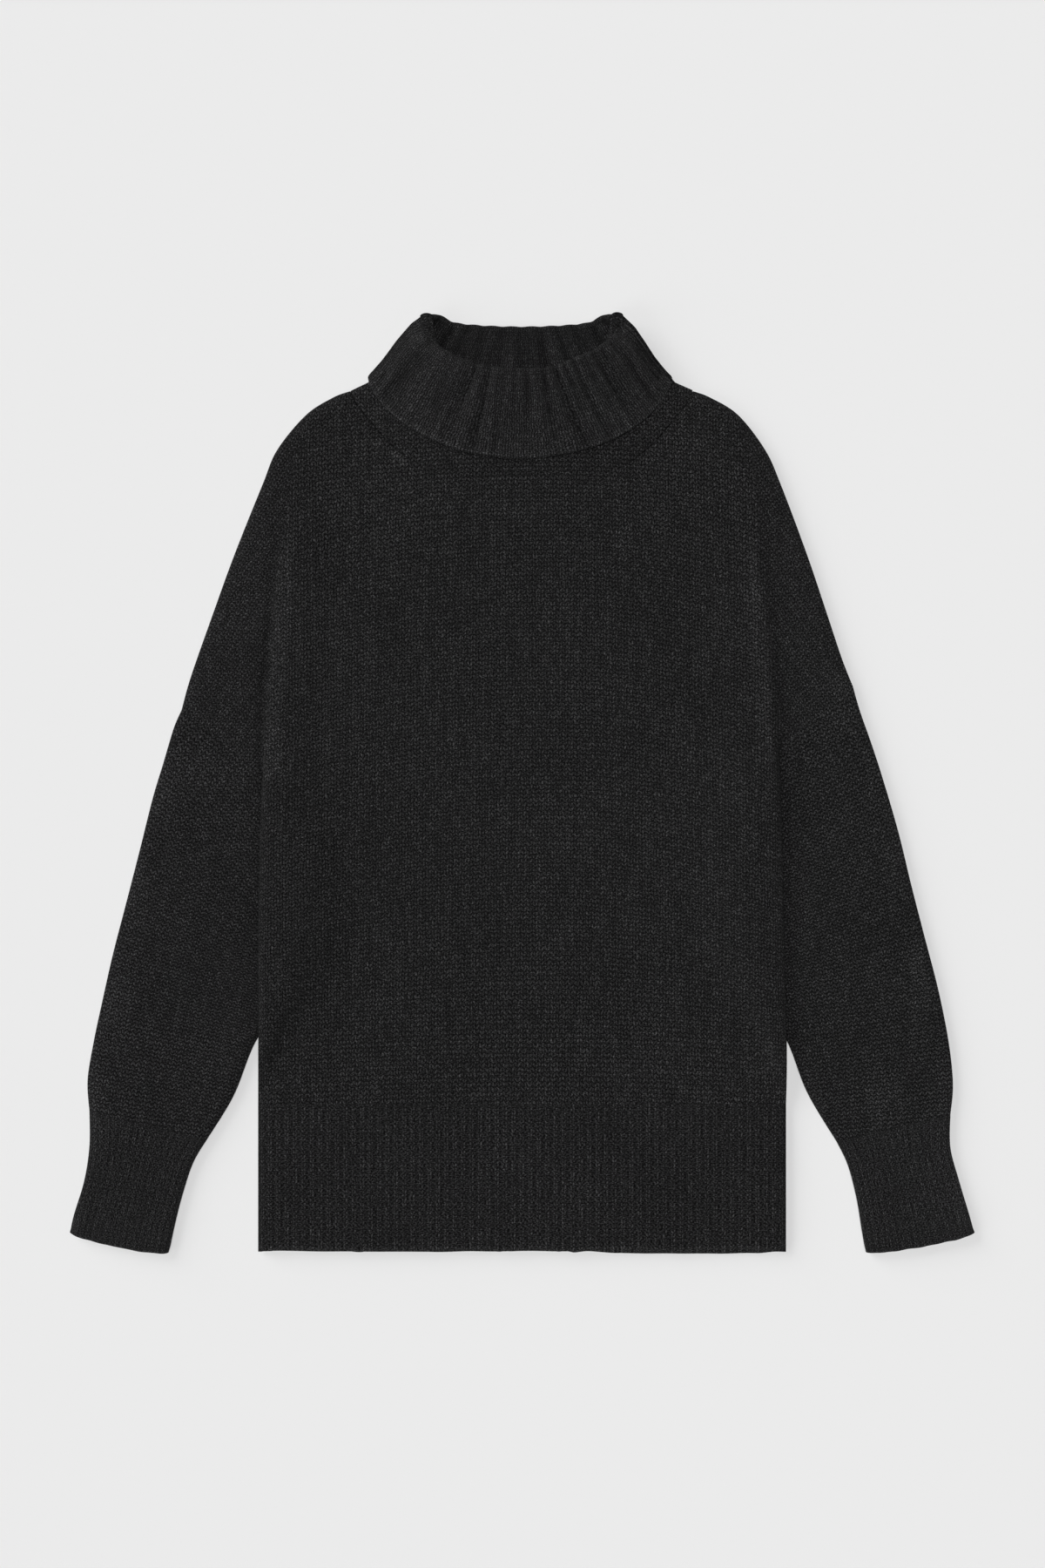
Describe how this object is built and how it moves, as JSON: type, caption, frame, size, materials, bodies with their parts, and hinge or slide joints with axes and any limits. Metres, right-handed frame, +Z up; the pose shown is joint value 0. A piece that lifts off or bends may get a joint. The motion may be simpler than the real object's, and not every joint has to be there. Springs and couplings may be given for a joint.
{
  "type": "turtleneck sweater laid flat",
  "caption": "Boxy knitted turtleneck sweater lying flat on its back, with dropped shoulders, sleeves folded down beside the body, ribbed hem and cuffs, and a wide turned-down ribbed collar.",
  "frame": {"origin": "on the surface the sweater lies on, under the middle of its outline", "axes": "+Y runs up the body from the hem to the collar, +X across the chest to the picture's right, +Z up out of the surface, with the front of the sweater facing up"},
  "size_m": [0.7492, 0.7784, 0.0303],
  "materials": {
    "plain_knit": "near-black melange wool in plain stocking stitch, matt, slightly fuzzy",
    "rib_knit": "the same yarn in a raised vertical rib, matt, slightly fuzzy"
  },
  "bodies": {
    "root": {"back": "plain_knit", "front": "plain_knit", "hem_back": "rib_knit", "hem_front": "rib_knit", "sleeve_left": "plain_knit", "sleeve_right": "plain_knit", "cuff_left": "rib_knit", "cuff_right": "rib_knit", "neck_band": "plain_knit", "collar": "rib_knit"}
  },
  "joints": []
}
